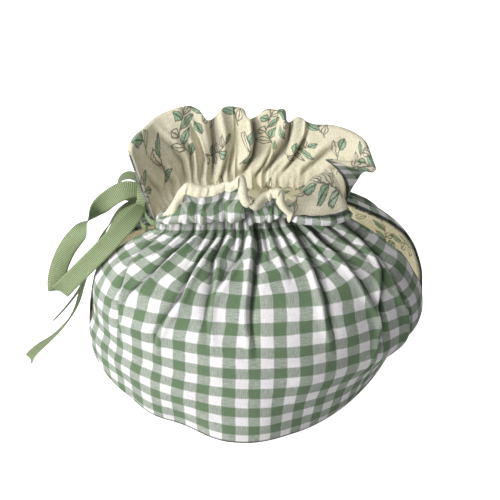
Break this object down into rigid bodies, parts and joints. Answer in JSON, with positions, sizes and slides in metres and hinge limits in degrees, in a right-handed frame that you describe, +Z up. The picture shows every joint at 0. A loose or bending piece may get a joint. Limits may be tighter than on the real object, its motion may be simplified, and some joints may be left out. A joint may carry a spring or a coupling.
{
  "type": "tea cosy",
  "caption": "Drawstring tea cosy of lined gingham: two gathered cloth panels with side slits, an open ruffled neck, an open hem and a ribbon bow.",
  "frame": {"origin": "middle of the cosy's bounding box without its ribbon, on the surface that the hem stands on", "axes": "+Z up; +X towards the spout side, -X the handle side with the bow; -Y the front panel"},
  "size_m": [0.2767, 0.1552, 0.1855],
  "materials": {
    "gingham": "matte woven cotton, green and white checks",
    "linen": "matte slubbed linen, printed with small leaf sprigs",
    "grosgrain": "ribbed ribbon with a soft sheen"
  },
  "bodies": {
    "root": {"front_outer": "gingham", "front_lining": "linen", "back_outer": "gingham", "back_lining": "linen", "ribbon": "grosgrain"}
  },
  "joints": []
}
